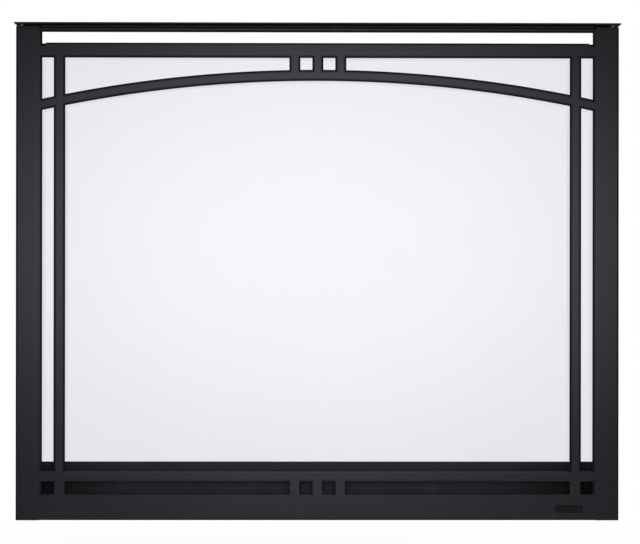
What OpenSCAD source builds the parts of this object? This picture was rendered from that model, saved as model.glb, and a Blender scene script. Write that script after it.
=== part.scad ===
// Fireplace front: a glazed steel door with an arched bar pattern that swings on two
// concealed pivots in a fixed frame, under a projecting cap.
//
// Frame of reference: X runs to the right, -Y points into the room and Z points up.
// The origin is the centre of the four fixing holes, on the back plane of the frame.

/* [Door face] */
// Width of the door, and of the cap above it
door_w = 1040; // [900:5:1300]
// Height of the door
door_h = 851; // [700:5:1000]
// Thickness of the folded sheet of the face
sheet_t = 2.5; // [1.5:0.1:3]
// Outside radius of its bends
bend_r = 3.5; // [3.2:0.1:5]
// Depth of the side returns, from the front of the face to their rear edge
return_d = 40; // [38:1:60]
// Shadow gap between the side returns and the wall
wall_gap = 10; // [9:0.5:12]
// Width of each stile
stile_w = 45.5; // [42:0.5:60]

/* [Rails and slots] */
// Height of the top rail, over the air slot
top_rail_h = 10; // [8:0.5:20]
// Height of the open air slot
air_slot_h = 18; // [8:0.5:22]
// Height of the upper rail
upper_rail_h = 26; // [24:0.5:40]
// Width of the relief notch at each end of the upper rail
relief_w = 6; // [3:0.5:10]
// Depth of the relief notch
relief_d = 2.5; // [1:0.5:4]
// Height of the bottom rail
bottom_rail_h = 45; // [40:0.5:70]
// Height of the lower slots and squares
lower_slot_h = 21.5; // [10:0.5:30]
// Height of the lower rail
lower_rail_h = 18.3; // [12:0.1:30]

/* [Bars] */
// Clear slot between a stile and its vertical bar
side_slot_w = 19.6; // [10:0.1:50]
// Width of the vertical bars
bar_w = 20; // [12:0.5:30]
// Width of the short posts
post_w = 19.1; // [12:0.1:26]
// Clear width of the squares between the centre posts
square_w = 20.5; // [12:0.1:30]
// Height of the squares between the upper rail and the top of the arch
square_h = 20.3; // [10:0.1:40]
// Height of the arch bar
arch_w = 19.2; // [12:0.1:30]
// Radius of the arch's upper edge
arch_r = 2254; // [2000:10:4000]

/* [Glass and its frame] */
// Distance from the front of the face to the front of the glass frame
recess_d = 17; // [12:0.5:17]
// Thickness of the glass frame's sheet
rim_t = 2; // [1.5:0.1:2.5]
// How far the glass frame hides behind the edges of the face
rim_setback = 4.4; // [2:0.1:6]
// How far the recessed bottom member shows above the lower rail
rim_sill_h = 14.8; // [5:0.1:30]
// Height of the recessed bottom member
rim_bottom_h = 69.6; // [62:0.1:75]
// Thickness of the glass
glass_t = 5; // [4:0.5:5]
// How far the glass laps the glass frame
glass_lap = 10; // [9:0.5:11]
// Thickness of the gasket on each face and on the edge of the glass
gasket_t = 2; // [1.5:0.1:2.2]
// How far the gasket laps the faces of the glass
gasket_lap = 8; // [5:0.5:8.5]
// Thickness of the glass retainers
clip_t = 1.5; // [1:0.1:1.8]
// Width of the screwed foot of a retainer
clip_foot_w = 8.5; // [8:0.1:9]
// Distance from the ends of the glass to the ends of the retainers
clip_end = 85; // [84:1:150]

/* [Cap] */
// Thickness of the cap
cap_t = 2.5; // [1.5:0.1:4]
// How far the cap stands out in front of the face
cap_overhang = 25; // [10:1:60]
// Running gap between the door and the cap
cap_gap = 1.5; // [1:0.1:3]
// Height of the flange behind the cap
cap_flange_h = 5.5; // [4:0.1:6]

/* [Fixed frame] */
// Thickness of the frame's sheet
frame_t = 2; // [1.5:0.1:2.2]
// Width of a jamb's flange on the wall
jamb_w = 32; // [30:0.5:34]
// Depth of a jamb's web
jamb_d = 14; // [10:0.5:16]
// Height of the head rail
head_h = 18; // [10:0.5:19]
// Height of the sill rail
sill_h = 60; // [30:1:75]
// Distance from the outer edge of a jamb's flange to its fixing holes
fix_edge = 13.9; // [10:0.1:18]
// Distance from the ends of the frame to the fixing holes
fix_end = 126.25; // [115:0.25:160]
// Diameter of the fixing holes
fix_hole_d = 5.5; // [4:0.1:8]

/* [Pivots] */
// Distance from the door's left edge to the pivot axis
pivot_inset = 12; // [11.5:0.1:12.5]
// Distance from the wall to the pivot axis
pivot_d = 21; // [20.5:0.1:21.5]
// Thickness of the fixed brackets and of the door's lugs
bracket_t = 4; // [3:0.5:5]
// Height of the lower bracket's arm above the bottom of the door
lower_arm_z = 8; // [4:0.5:12]
// Distance from the top of the door down to the upper bracket's arm
upper_arm_z = 9; // [8:0.5:12]
// Diameter of the lower pin
lower_pin_d = 10; // [8:0.5:10]
// Height of the lower pin above its bracket
lower_pin_h = 20; // [14:0.5:30]
// Diameter of the sprung upper pin
upper_pin_d = 8; // [6:0.5:8]
// How far the upper pin pulls down
pin_travel = 10; // [10:0.5:12]
// Radial running clearance of both pins
pin_gap = 0.05; // [0.02:0.01:0.08]
// Clearance between faces that slide past each other
face_gap = 0.3; // [0.2:0.05:0.5]
// Height of the upper pivot guide
guide_h = 61; // [50:1:80]
// Wire diameter of the spring
wire_d = 1.2; // [0.8:0.1:1.4]
// Turns of the spring
spring_turns = 9.5; // [6:0.5:11]
// Diameter of the pull knob
knob_d = 10; // [8:0.5:12]

/* [Magnetic catches] */
// Width of a catch
catch_w = 16; // [12:0.5:18]
// Height of a catch's housing
catch_h = 32; // [20:1:40]
// Height of each of its screw ears
ear_h = 10; // [9:0.5:14]
// Distance from the ends of the door to the middle of a catch
catch_end = 56; // [50:1:60]
// Depth of a catch, from the frame to the magnet's face
catch_d = 23.4; // [20:0.1:24]

/* [Name plate] */
// Width of the blank plate
plate_w = 50; // [20:1:80]
// Height of the blank plate
plate_h = 16; // [8:0.5:24]
// Thickness of the blank plate
plate_t = 1.2; // [0.5:0.1:2]
// Distance from the door's right edge to the plate
plate_inset_x = 61; // [50:1:200]
// Distance from the door's bottom edge to the plate
plate_inset_z = 12; // [5:0.5:20]

/* [Hidden] */
$fn = 48;

// clearance at welded joints, round fixed shanks and beside a bend
weld_gap = 0.05;
shank_gap = 0.2;
bend_clear = 0.5;
// how far a cut runs on past the metal
over = 1;
// inside radius of the bends of the glass frame and of the fixed frame
bend_inner = 1;

// heights, from the middle of the fixed frame
frame_h = door_h + cap_gap;
bottom_z = -frame_h / 2;
top_z = bottom_z + door_h;
cap_z = frame_h / 2;
bottom_rail_z = bottom_z + bottom_rail_h;
lower_slot_z = bottom_rail_z + lower_slot_h;
lower_rail_z = lower_slot_z + lower_rail_h;
air_slot_top = top_z - top_rail_h;
upper_rail_z = air_slot_top - air_slot_h;
upper_rail_low = upper_rail_z - upper_rail_h;
arch_top = upper_rail_low - square_h;
arch_z = arch_top - arch_r;

// widths, from the middle of the door
half_w = door_w / 2;
stile_x = half_w - stile_w;
bar_out = stile_x - side_slot_w;
bar_in = bar_out - bar_w;
post_in = post_w / 2 + square_w;
post_out = post_in + post_w;
rim_x = stile_x + rim_setback;
rim_out = half_w - sheet_t;

// depths, from the wall forward
face_y = -(wall_gap + return_d);
face_back = face_y + sheet_t;
rim_y = face_y + recess_d;
rim_back = rim_y + rim_t;
glass_y = rim_back + gasket_t;
glass_back = glass_y + glass_t;
gasket_back = glass_back + gasket_t;

// glass frame, glass and gasket
rim_sill_z = lower_rail_z + rim_sill_h;
rim_bottom_z = rim_sill_z - rim_bottom_h;
rim_head_z = upper_rail_low + rim_setback;
rim_end = 6;
rim_bend = rim_t + bend_inner;
rim_leg_y = face_y + bend_r + bend_clear;
screw_room = 4;
upper_flange_d = recess_d - screw_room;
glass_x = rim_x + glass_lap;
glass_low = rim_sill_z - glass_lap;
glass_top = rim_head_z + glass_lap;
clip_edge = gasket_t + clip_t;
clip_screw = clip_edge + clip_foot_w / 2;
long_clip_end = 20;
clip_end_x = glass_x - long_clip_end;
side_clip_low = glass_low + clip_end;
side_clip_top = glass_top - clip_end;

// small screws
screw_d = 4;
screw_head_d = 7;
screw_head_h = 2.4;
screw_l = 6;
screw_inset = 25;
side_screws = 4;
long_screws = 6;

// fixed frame
jamb_setback = 3;
jamb_x = rim_x + jamb_setback;
frame_bend = frame_t + bend_inner;
sill_rise = 4;
sill_z = bottom_z + sill_rise;
head_drop = 1;
head_top = upper_rail_z - head_drop;
fix_x = jamb_x + jamb_w - fix_edge;
fix_z = frame_h / 2 - fix_end;
web_l = 10;

// pivots
pivot_x = -(half_w - pivot_inset);
pivot_y = -pivot_d;
arm_low_z = bottom_z + lower_arm_z;
arm_top_z = top_z - upper_arm_z;
arm_half = 7;
leg_h = 36;
leg_clear = 4;
leg_x = -(jamb_x + frame_t);
leg_back = -(frame_bend + bend_clear);
washer_t = 2;
washer_z = arm_low_z + bracket_t;
washer_d = 18;
bushing_wall = 2;
bushing_flange_t = 1.5;
bushing_flange_d = 17;
bushing_stand = 1;
upper_flange_w = 1.5;
bushing_z = washer_z + washer_t + face_gap;
lower_lug_z = bushing_z + bushing_flange_t;
lug_r = 8;
strap_t = 2.5;
strap_w = 25;
strap_h = 43;
strap_x = pivot_x - lug_r;
strap_screw_d = 5;
strap_head_d = 9;
strap_head_h = 3;
strap_screw_l = 7;
strap_screw_offset = 5;
strap_screw_x = pivot_x + strap_screw_offset;
strap_screw_end = 8;
strap_screw_step = 12;

// upper pin, from the fixed arm down to the knob
upper_lug_drop = 10;
upper_lug_z = arm_top_z - upper_lug_drop;
guide_z = upper_lug_z + bracket_t - guide_h;
guide_w = 19;
pin_r = upper_pin_d / 2;
pin_stand = 4;
pin_top = arm_top_z + bracket_t + pin_stand;
collar_r = 6.5;
collar_h = 3;
collar_z = upper_lug_z - face_gap - collar_h;
knob_h = 12;
knob_engage = 6;
knob_clear = 2;
knob_z = guide_z - pin_travel - knob_clear - knob_h;
pin_chamfer = 1;

// spring, on the guide's lower lug and under the pin's collar
wire_r = wire_d / 2;
spring_gap = 0.5;
spring_r = pin_r + spring_gap + wire_r;
spring_low = guide_z + bracket_t;
spring_high = collar_z;
spring_seat = 0.2;
rings_a_turn = 8;
wire_sides = 6;

// catches and strikes
catch_offset = 8;
catch_x = jamb_x + jamb_w / 2 + catch_offset;
catch_low = bottom_z + catch_end;
catch_high = top_z - catch_end;
ear_t = 2;
ear_screw = catch_h / 2 + ear_h / 2;
pocket_side = 3;
pocket_end = 5;
magnet_w = catch_w - 2 * pocket_side;
magnet_h = catch_h - 2 * pocket_end;
magnet_depth = 8;
catch_face = -frame_t - catch_d;
strike_t = 2;
strike_h = 44;
strike_y = catch_face - face_gap;

// ---------------------------------------------------------------------------
// shared shapes
// ---------------------------------------------------------------------------

// a box between two opposite corners
module block(low, high) {
    translate(low) cube(high - low);
}

// a box with the same reach to the left and to the right
module span(half, y0, y1, z0, z1) {
    block([-half, y0, z0], [half, y1, z1]);
}

// the shape on the right, mirrored to the left
module on_left() {
    mirror([1, 0, 0]) children();
}

// the shape on both sides
module on_both() {
    children();
    on_left() children();
}

// an angle in cross-section: two legs from one outer corner, with a rounded bend
module angle_legs(u, v, t, r) {
    translate([r, 0]) square([u - r, t]);
    translate([0, r]) square([t, v - r]);
    translate([r, r]) intersection() {
        difference() {
            circle(r);
            circle(r - t);
        }
        translate([-r, -r]) square(r);
    }
}

// the same angle from a given corner, each leg towards its own sign
module angle_profile(corner, u, v, t, r) {
    translate(corner)
        mirror([u < 0 ? 1 : 0, 0])
            mirror([0, v < 0 ? 1 : 0])
                angle_legs(abs(u), abs(v), t, r);
}

// a profile drawn in X and Y, standing up from z0 to z1
module upright(z0, z1) {
    translate([0, 0, z0]) linear_extrude(z1 - z0) children();
}

// a profile drawn in Y and Z, lying across the door
module across(half) {
    translate([-half, 0, 0]) rotate([90, 0, 90]) linear_extrude(2 * half) children();
}

// a shape on the Z axis, turned to point out of the back of the door
module facing_back(x, y, z) {
    translate([x, y, z]) rotate([-90, 0, 0]) children();
}

// a clearance hole through the door or the frame, front to back
module hole_y(x, z, d, y0, y1) {
    facing_back(x, y0, z) cylinder(d = d, h = y1 - y0);
}

// a pan-head screw whose head sits at the back and whose shank points to the room
module screw_from_back(x, y, z, d, head_d, head_h, length) {
    facing_back(x, y, z) cylinder(d = head_d, h = head_h);
    facing_back(x, y - length, z) cylinder(d = d, h = length);
}

// the same screw with its head to the room and its shank into the wall
module screw_from_front(x, y, z, d, head_d, head_h, length) {
    facing_back(x, y - head_h, z) cylinder(d = head_d, h = head_h);
    facing_back(x, y, z) cylinder(d = d, h = length);
}

// n places from a to b, both ends included
function places(a, b, n) = [for (i = [0 : n - 1]) a + (b - a) * i / (n - 1)];

// ---------------------------------------------------------------------------
// door face
// ---------------------------------------------------------------------------

// right stile: front and side return, folded from one sheet
module stile() {
    upright(bottom_z, top_z)
        angle_profile([half_w, face_y], -stile_w, return_d, sheet_t, bend_r);
}

module stile_left() {
    color("#3a393e") on_left() stile();
}

module stile_right() {
    color("#3a393e") stile();
}

// narrow strip over the air slot, with a flange back along its top
module top_rail() {
    color("#232227") across(stile_x - weld_gap)
        angle_profile([face_y, top_z], recess_d, -top_rail_h, sheet_t, bend_r);
}

// upper rail: a flange back along its top, stopped by a relief notch at each end and
// short of the glass frame, so that the tips of the retainer screws have room
module upper_rail() {
    notch_x = stile_x - relief_w;
    color("#38373c") difference() {
        across(stile_x - weld_gap)
            angle_profile([face_y, upper_rail_z], upper_flange_d, -upper_rail_h, sheet_t, bend_r);
        on_both() block(
            [notch_x, face_y - over, upper_rail_z - relief_d],
            [stile_x + over, rim_y + over, upper_rail_z + over]
        );
    }
}

// the region between the two edges of the arch, widened by a margin
module arch_band(margin, y0, y1) {
    facing_back(0, y0, arch_z) linear_extrude(y1 - y0) difference() {
        circle(arch_r + margin, $fn = 360);
        circle(arch_r - arch_w - margin, $fn = 360);
    }
}

// low arch from stile to stile
module arch_bar() {
    color("#3c3a40") intersection() {
        arch_band(0, face_y, face_back);
        span(stile_x - weld_gap, face_y - over, face_back + over, bottom_rail_z, upper_rail_low);
    }
}

// right vertical bar, cut where the arch crosses it
module vertical_bar() {
    difference() {
        block(
            [bar_in, face_y, lower_rail_z + weld_gap],
            [bar_out, face_back, upper_rail_low - weld_gap]
        );
        arch_band(weld_gap, face_y - over, face_back + over);
    }
}

module vertical_bar_left() {
    color("#38373c") on_left() vertical_bar();
}

module vertical_bar_right() {
    color("#38373c") vertical_bar();
}

// three posts that make two squares over the middle of the arch
module centre_posts() {
    color("#38373c") difference() {
        for (low = [-post_out, -post_w / 2, post_in])
            block(
                [low, face_y, arch_top - square_h],
                [low + post_w, face_back, upper_rail_low - weld_gap]
            );
        facing_back(0, face_y - over, arch_z)
            cylinder(r = arch_r + weld_gap, h = sheet_t + 2 * over, $fn = 360);
    }
}

module lower_rail() {
    color("#35343a")
        span(stile_x - weld_gap, face_y, face_back, lower_slot_z, lower_rail_z);
}

// posts that repeat the squares between the lower rail and the bottom rail
module lower_posts() {
    color("#35343a") {
        for (low = [-post_out, -post_w / 2, post_in])
            lower_post(low, low + post_w);
        on_both() lower_post(bar_in, bar_out);
    }
}

module lower_post(x0, x1) {
    block(
        [x0, face_y, bottom_rail_z + weld_gap],
        [x1, face_back, lower_slot_z - weld_gap]
    );
}

// bottom rail, with a flange back along its bottom
module bottom_rail() {
    color("#302f34") across(stile_x - weld_gap)
        angle_profile([face_y, bottom_z], recess_d, bottom_rail_h, sheet_t, bend_r);
}

// blank plate near the lower right corner
module nameplate() {
    right = half_w - plate_inset_x;
    low = bottom_z + plate_inset_z;
    color("#141416") block(
        [right - plate_w, face_y - plate_t, low],
        [right, face_y, low + plate_h]
    );
}

// ---------------------------------------------------------------------------
// glass frame, glass and what holds it
// ---------------------------------------------------------------------------

// right side of the glass frame: an angle spot-welded inside the stile's return
module glass_frame_side(screw_side) {
    difference() {
        upright(bottom_z + rim_end, top_z - rim_end)
            angle_profile(
                [rim_out, rim_back], -(rim_out - rim_x), -(rim_back - rim_leg_y), rim_t, rim_bend
            );
        for (z = places(side_clip_low + screw_inset, side_clip_top - screw_inset, side_screws))
            retainer_hole(glass_x + clip_screw, z);
        if (screw_side == "strap")
            for (z = strap_screw_places())
                hole_y(-strap_screw_x, z, strap_screw_d + 2 * shank_gap, rim_y - over, rim_back + over);
    }
}

module glass_frame_left() {
    color("#28272b") on_left() glass_frame_side("strap");
}

module glass_frame_right() {
    color("#28272b") glass_frame_side("plain");
}

// top of the glass frame, hidden behind the upper rail
module glass_frame_top() {
    color("#28272b") difference() {
        span(rim_x - weld_gap, rim_y, rim_back, rim_head_z, upper_rail_z);
        for (x = long_screw_places()) retainer_hole(x, glass_top + clip_screw);
    }
}

// recessed bottom member, with a flange forward to the bottom rail
module glass_frame_bottom() {
    color("#2b2a2f") difference() {
        across(rim_x - weld_gap)
            angle_profile(
                [rim_back, rim_bottom_z], -(rim_back - face_back), rim_bottom_h, rim_t, rim_bend
            );
        for (x = long_screw_places()) retainer_hole(x, glass_low - clip_screw);
    }
}

module glass_pane() {
    color("#e9e7ee", 0.35) span(glass_x, glass_y, glass_back, glass_low, glass_top);
}

// woven gasket folded over the edge of the glass all the way round
module glass_gasket() {
    color("#b9b5aa") difference() {
        span(
            glass_x + gasket_t, rim_back, gasket_back,
            glass_low - gasket_t, glass_top + gasket_t
        );
        span(glass_x, glass_y, glass_back, glass_low, glass_top);
        span(
            glass_x - gasket_lap, rim_back - over, gasket_back + over,
            glass_low + gasket_lap, glass_top - gasket_lap
        );
    }
}

// a retainer in cross-section: a foot on the frame, a web past the glass and a lip behind it.
// The first axis runs outward from the edge of the glass, the second out of the back.
module retainer_profile() {
    translate([gasket_t, rim_back]) square([clip_t + clip_foot_w, clip_t]);
    translate([gasket_t, rim_back]) square([clip_t, gasket_back + clip_t - rim_back]);
    translate([-gasket_lap, gasket_back]) square([gasket_lap + clip_edge, clip_t]);
}

module retainer_hole(x, z) {
    hole_y(x, z, screw_d + 2 * shank_gap, rim_y - over, rim_back + clip_t + over);
}

function long_screw_places() =
    places(-(clip_end_x - screw_inset), clip_end_x - screw_inset, long_screws);

module glass_retainer_side() {
    difference() {
        upright(side_clip_low, side_clip_top) translate([glass_x, 0]) retainer_profile();
        for (z = places(side_clip_low + screw_inset, side_clip_top - screw_inset, side_screws))
            retainer_hole(glass_x + clip_screw, z);
    }
}

module glass_retainer_left() {
    color("#2e2d31") on_left() glass_retainer_side();
}

module glass_retainer_right() {
    color("#2e2d31") glass_retainer_side();
}

module glass_retainer_top() {
    color("#2e2d31") difference() {
        across(clip_end_x) translate([0, glass_top]) mirror([1, -1]) retainer_profile();
        for (x = long_screw_places()) retainer_hole(x, glass_top + clip_screw);
    }
}

// the bottom retainer also carries the weight of the glass
module glass_retainer_bottom() {
    color("#2e2d31") difference() {
        across(clip_end_x)
            translate([0, glass_low]) mirror([0, 1]) mirror([1, -1]) retainer_profile();
        for (x = long_screw_places()) retainer_hole(x, glass_low - clip_screw);
    }
}

module retainer_screw(x, z) {
    screw_from_back(x, rim_back + clip_t, z, screw_d, screw_head_d, screw_head_h, screw_l);
}

module retainer_screws() {
    color("#b4b4b8") {
        on_both()
            for (z = places(side_clip_low + screw_inset, side_clip_top - screw_inset, side_screws))
                retainer_screw(glass_x + clip_screw, z);
        for (x = long_screw_places()) {
            retainer_screw(x, glass_top + clip_screw);
            retainer_screw(x, glass_low - clip_screw);
        }
    }
}

// ---------------------------------------------------------------------------
// pivots
// ---------------------------------------------------------------------------

function strap_screw_places() = [
    lower_lug_z + strap_h - strap_screw_end - strap_screw_step,
    lower_lug_z + strap_h - strap_screw_end
];

// a lug of the door round the pivot axis, reaching back from the glass frame
module pivot_lug(z, hole_d) {
    upright(z, z + bracket_t) difference() {
        union() {
            translate([pivot_x, pivot_y]) circle(lug_r);
            translate([pivot_x - lug_r, rim_back])
                square([2 * lug_r, pivot_y - rim_back]);
        }
        translate([pivot_x, pivot_y]) circle(d = hole_d);
    }
}

// a fixed arm that comes from the jamb's side, so that the door's return swings round it
module fixed_arm(z, hole_d) {
    upright(z, z + bracket_t) difference() {
        union() {
            translate([pivot_x, pivot_y]) circle(arm_half);
            translate([pivot_x, pivot_y - arm_half])
                square([leg_x - pivot_x, 2 * arm_half]);
        }
        translate([pivot_x, pivot_y]) circle(d = hole_d);
    }
}

// the leg that carries a fixed arm, welded to the outer side of the jamb's web
module fixed_leg(z0, z1) {
    block(
        [leg_x - bracket_t, rim_back + leg_clear, z0],
        [leg_x, leg_back, z1]
    );
}

// strap at the foot of the door, with the lug that holds the lower bushing
module lower_pivot_strap() {
    bushing_d = lower_pin_d + 2 * pin_gap + 2 * bushing_wall;
    color("#77777b") union() {
        pivot_lug(lower_lug_z, bushing_d + 2 * weld_gap);
        difference() {
            block(
                [strap_x, rim_back, lower_lug_z],
                [strap_x + strap_w, rim_back + strap_t, lower_lug_z + strap_h]
            );
            for (z = strap_screw_places())
                hole_y(
                    strap_screw_x, z, strap_screw_d + 2 * shank_gap,
                    rim_back - over, rim_back + strap_t + over
                );
        }
    }
}

module strap_screws() {
    color("#b4b4b8")
        for (z = strap_screw_places())
            screw_from_back(
                strap_screw_x, rim_back + strap_t, z,
                strap_screw_d, strap_head_d, strap_head_h, strap_screw_l
            );
}

// flanged sleeve that turns on the lower pin and rides on the washer
module lower_bushing() {
    bore_r = lower_pin_d / 2 + pin_gap;
    color("#a8844c") translate([pivot_x, pivot_y, bushing_z]) rotate_extrude() {
        translate([bore_r, 0])
            square([bushing_flange_d / 2 - bore_r, bushing_flange_t]);
        translate([bore_r, 0])
            square([bushing_wall, bushing_flange_t + bracket_t + bushing_stand]);
    }
}

// guide of the sprung pin: a plate with two lugs
module upper_pivot_guide() {
    hole_d = upper_pin_d + 2 * pin_gap;
    color("#77777b") union() {
        pivot_lug(guide_z, hole_d);
        pivot_lug(upper_lug_z, hole_d);
        block(
            [strap_x, rim_back, guide_z],
            [strap_x + guide_w, rim_back + strap_t, guide_z + guide_h]
        );
    }
}

// turned pin with a collar for the spring, and a chamfered tip
module upper_pivot_pin() {
    foot = knob_z + knob_h - knob_engage;
    color("#9a9a9e") translate([pivot_x, pivot_y, 0]) rotate_extrude() polygon([
        [0, foot],
        [pin_r, foot],
        [pin_r, collar_z],
        [collar_r, collar_z],
        [collar_r, collar_z + collar_h],
        [pin_r, collar_z + collar_h],
        [pin_r, pin_top - pin_chamfer],
        [pin_r - pin_chamfer, pin_top],
        [0, pin_top]
    ]);
}

// knob on the foot of the pin, to pull it down
module pin_knob() {
    color("#1c1c1e") translate([pivot_x, pivot_y, knob_z]) difference() {
        cylinder(d = knob_d, h = knob_h);
        translate([0, 0, knob_h - knob_engage])
            cylinder(r = pin_r + weld_gap, h = knob_engage + over);
    }
}

// a point of the spring's wire: a circle of the wire carried along a helix
helix_low = spring_low + spring_seat + wire_r;
helix_high = spring_high - spring_seat - wire_r;
spring_rings = round(rings_a_turn * spring_turns);
spring_pitch = (helix_high - helix_low) / spring_turns;
helix_slope = atan2(spring_pitch, 2 * PI * spring_r);

function helix_centre(i) = let (turn = 360 * i / rings_a_turn) [
    pivot_x + spring_r * cos(turn),
    pivot_y + spring_r * sin(turn),
    helix_low + (helix_high - helix_low) * i / spring_rings
];

function wire_point(i, k) = let (
    turn = 360 * i / rings_a_turn,
    side = 360 * k / wire_sides,
    outward = [cos(turn), sin(turn), 0],
    upward = [sin(helix_slope) * sin(turn), -sin(helix_slope) * cos(turn), cos(helix_slope)]
) helix_centre(i) + wire_r * (cos(side) * outward + sin(side) * upward);

// least clear gap between one turn and the next
function turn_gap() = min([
    for (i = [0 : spring_rings - rings_a_turn])
        norm(helix_centre(i + rings_a_turn) - helix_centre(i)) - wire_d
]);

module pivot_spring() {
    last = spring_rings * wire_sides;
    rings = [
        for (i = [0 : spring_rings]) for (k = [0 : wire_sides - 1]) wire_point(i, k)
    ];
    sides = [
        for (i = [0 : spring_rings - 1]) for (k = [0 : wire_sides - 1])
            let (
                a = i * wire_sides + k,
                b = i * wire_sides + (k + 1) % wire_sides,
                c = b + wire_sides,
                d = a + wire_sides
            ) each [[a, c, b], [a, d, c]]
    ];
    ends = [
        for (k = [1 : wire_sides - 2]) each [[0, k, k + 1], [last, last + k + 1, last + k]]
    ];
    echo(spring_gap_mm = turn_gap());
    color("#8c8c90") polyhedron(points = rings, faces = concat(sides, ends), convexity = 10);
}

// fixed bracket that carries the door's weight
module lower_pivot_bracket() {
    color("#77777b") union() {
        fixed_arm(arm_low_z, lower_pin_d + 2 * weld_gap);
        fixed_leg(arm_low_z, arm_low_z + leg_h);
    }
}

module lower_pivot_pin() {
    color("#9a9a9e") translate([pivot_x, pivot_y, arm_low_z])
        cylinder(d = lower_pin_d, h = bracket_t + lower_pin_h);
}

module thrust_washer() {
    color("#b4b4b8") translate([pivot_x, pivot_y, washer_z]) difference() {
        cylinder(d = washer_d, h = washer_t);
        translate([0, 0, -over])
            cylinder(d = lower_pin_d + 2 * shank_gap, h = washer_t + 2 * over);
    }
}

// fixed bracket over the door that the sprung pin enters
module upper_pivot_bracket() {
    bushing_d = upper_pin_d + 2 * pin_gap + 2 * bushing_wall;
    color("#77777b") union() {
        fixed_arm(arm_top_z, bushing_d + 2 * weld_gap);
        fixed_leg(arm_top_z + bracket_t - leg_h / 2, arm_top_z + bracket_t);
    }
}

// flanged sleeve in the upper arm
module upper_bushing() {
    bore_r = upper_pin_d / 2 + pin_gap;
    color("#a8844c") translate([pivot_x, pivot_y, arm_top_z - bushing_flange_t])
        rotate_extrude() {
            translate([bore_r, 0])
                square([bushing_wall + upper_flange_w, bushing_flange_t]);
            translate([bore_r, 0])
                square([bushing_wall, bushing_flange_t + bracket_t + bushing_stand]);
        }
}

// ---------------------------------------------------------------------------
// fixed frame and cap
// ---------------------------------------------------------------------------

// right jamb: a flange on the wall and a web that closes the gap behind the stile
module jamb(catches) {
    difference() {
        upright(bottom_z + rim_end, cap_z)
            angle_profile([jamb_x, 0], jamb_w, -jamb_d, frame_t, frame_bend);
        for (z = [-fix_z, fix_z])
            hole_y(fix_x, z, fix_hole_d, -frame_t - over, over);
        if (catches)
            for (z = catch_screw_places())
                hole_y(catch_x, z, screw_d + 2 * shank_gap, -frame_t - over, over);
    }
}

module jamb_left() {
    color("#28272b") on_left() jamb(false);
}

module jamb_right() {
    color("#28272b") jamb(true);
}

// head rail, hidden behind the upper rail
module head_rail() {
    color("#28272b") across(jamb_x - weld_gap)
        angle_profile([0, head_top], -web_l, -head_h, frame_t, frame_bend);
}

// sill rail, hidden behind the bottom of the door
module sill_rail() {
    color("#28272b") across(jamb_x - weld_gap)
        angle_profile([0, sill_z + sill_h], -web_l, -sill_h, frame_t, frame_bend);
}

// cap over the door: it rests on the jambs, and its back flange drops between them
module cap() {
    color("#1f1e22") union() {
        span(half_w, face_y - cap_overhang, 0, cap_z, cap_z + cap_t);
        span(jamb_x - weld_gap, -cap_t, 0, cap_z - cap_flange_h, cap_z + cap_t / 2);
    }
}

// ---------------------------------------------------------------------------
// magnetic catches
// ---------------------------------------------------------------------------

function catch_screw_places() = [
    for (z = [catch_low, catch_high]) for (s = [-1, 1]) z + s * ear_screw
];

// one housing with an open pocket for its magnet and a screw ear at each end
module catch_housing(z) {
    half = catch_w / 2;
    difference() {
        union() {
            block(
                [catch_x - half, catch_face, z - catch_h / 2],
                [catch_x + half, -frame_t, z + catch_h / 2]
            );
            block(
                [catch_x - half, -frame_t - ear_t, z - catch_h / 2 - ear_h],
                [catch_x + half, -frame_t, z + catch_h / 2 + ear_h]
            );
        }
        block(
            [catch_x - magnet_w / 2, catch_face - over, z - magnet_h / 2],
            [catch_x + magnet_w / 2, catch_face + magnet_depth, z + magnet_h / 2]
        );
        for (s = [-1, 1])
            hole_y(catch_x, z + s * ear_screw, screw_d + 2 * shank_gap, -frame_t - ear_t - over, 0);
    }
}

module catch_housings() {
    color("#26262a") for (z = [catch_low, catch_high]) catch_housing(z);
}

module catch_magnets() {
    color("#6d6d72") for (z = [catch_low, catch_high])
        block(
            [catch_x - magnet_w / 2 + weld_gap, catch_face, z - magnet_h / 2 + weld_gap],
            [catch_x + magnet_w / 2 - weld_gap, catch_face + magnet_depth, z + magnet_h / 2 - weld_gap]
        );
}

module catch_screws() {
    color("#b4b4b8") for (z = catch_screw_places())
        screw_from_front(
            catch_x, -frame_t - ear_t, z,
            screw_d, screw_head_d, screw_head_h, ear_t + frame_t - bend_clear
        );
}

// hat-shaped plates on the door that the magnets hold
module strike_plates() {
    half = catch_w / 2;
    color("#9a9a9e") for (z = [catch_low, catch_high])
        difference() {
            block(
                [catch_x - half, rim_back, z - strike_h / 2],
                [catch_x + half, strike_y, z + strike_h / 2]
            );
            block(
                [catch_x - half - over, rim_back - over, z - strike_h / 2 + strike_t],
                [catch_x + half + over, strike_y - strike_t, z + strike_h / 2 - strike_t]
            );
        }
}

stile_left();
stile_right();
top_rail();
upper_rail();
arch_bar();
vertical_bar_left();
vertical_bar_right();
centre_posts();
lower_rail();
lower_posts();
bottom_rail();
nameplate();
glass_frame_left();
glass_frame_right();
glass_frame_top();
glass_frame_bottom();
glass_pane();
glass_gasket();
glass_retainer_left();
glass_retainer_right();
glass_retainer_top();
glass_retainer_bottom();
retainer_screws();
lower_pivot_strap();
strap_screws();
lower_bushing();
upper_pivot_guide();
upper_pivot_pin();
pin_knob();
pivot_spring();
strike_plates();
jamb_left();
jamb_right();
head_rail();
sill_rail();
cap();
lower_pivot_bracket();
lower_pivot_pin();
thrust_washer();
upper_pivot_bracket();
upper_bushing();
catch_housings();
catch_magnets();
catch_screws();
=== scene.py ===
import math

import bmesh
import bpy
import numpy as np
from mathutils import Matrix, Vector


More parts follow.
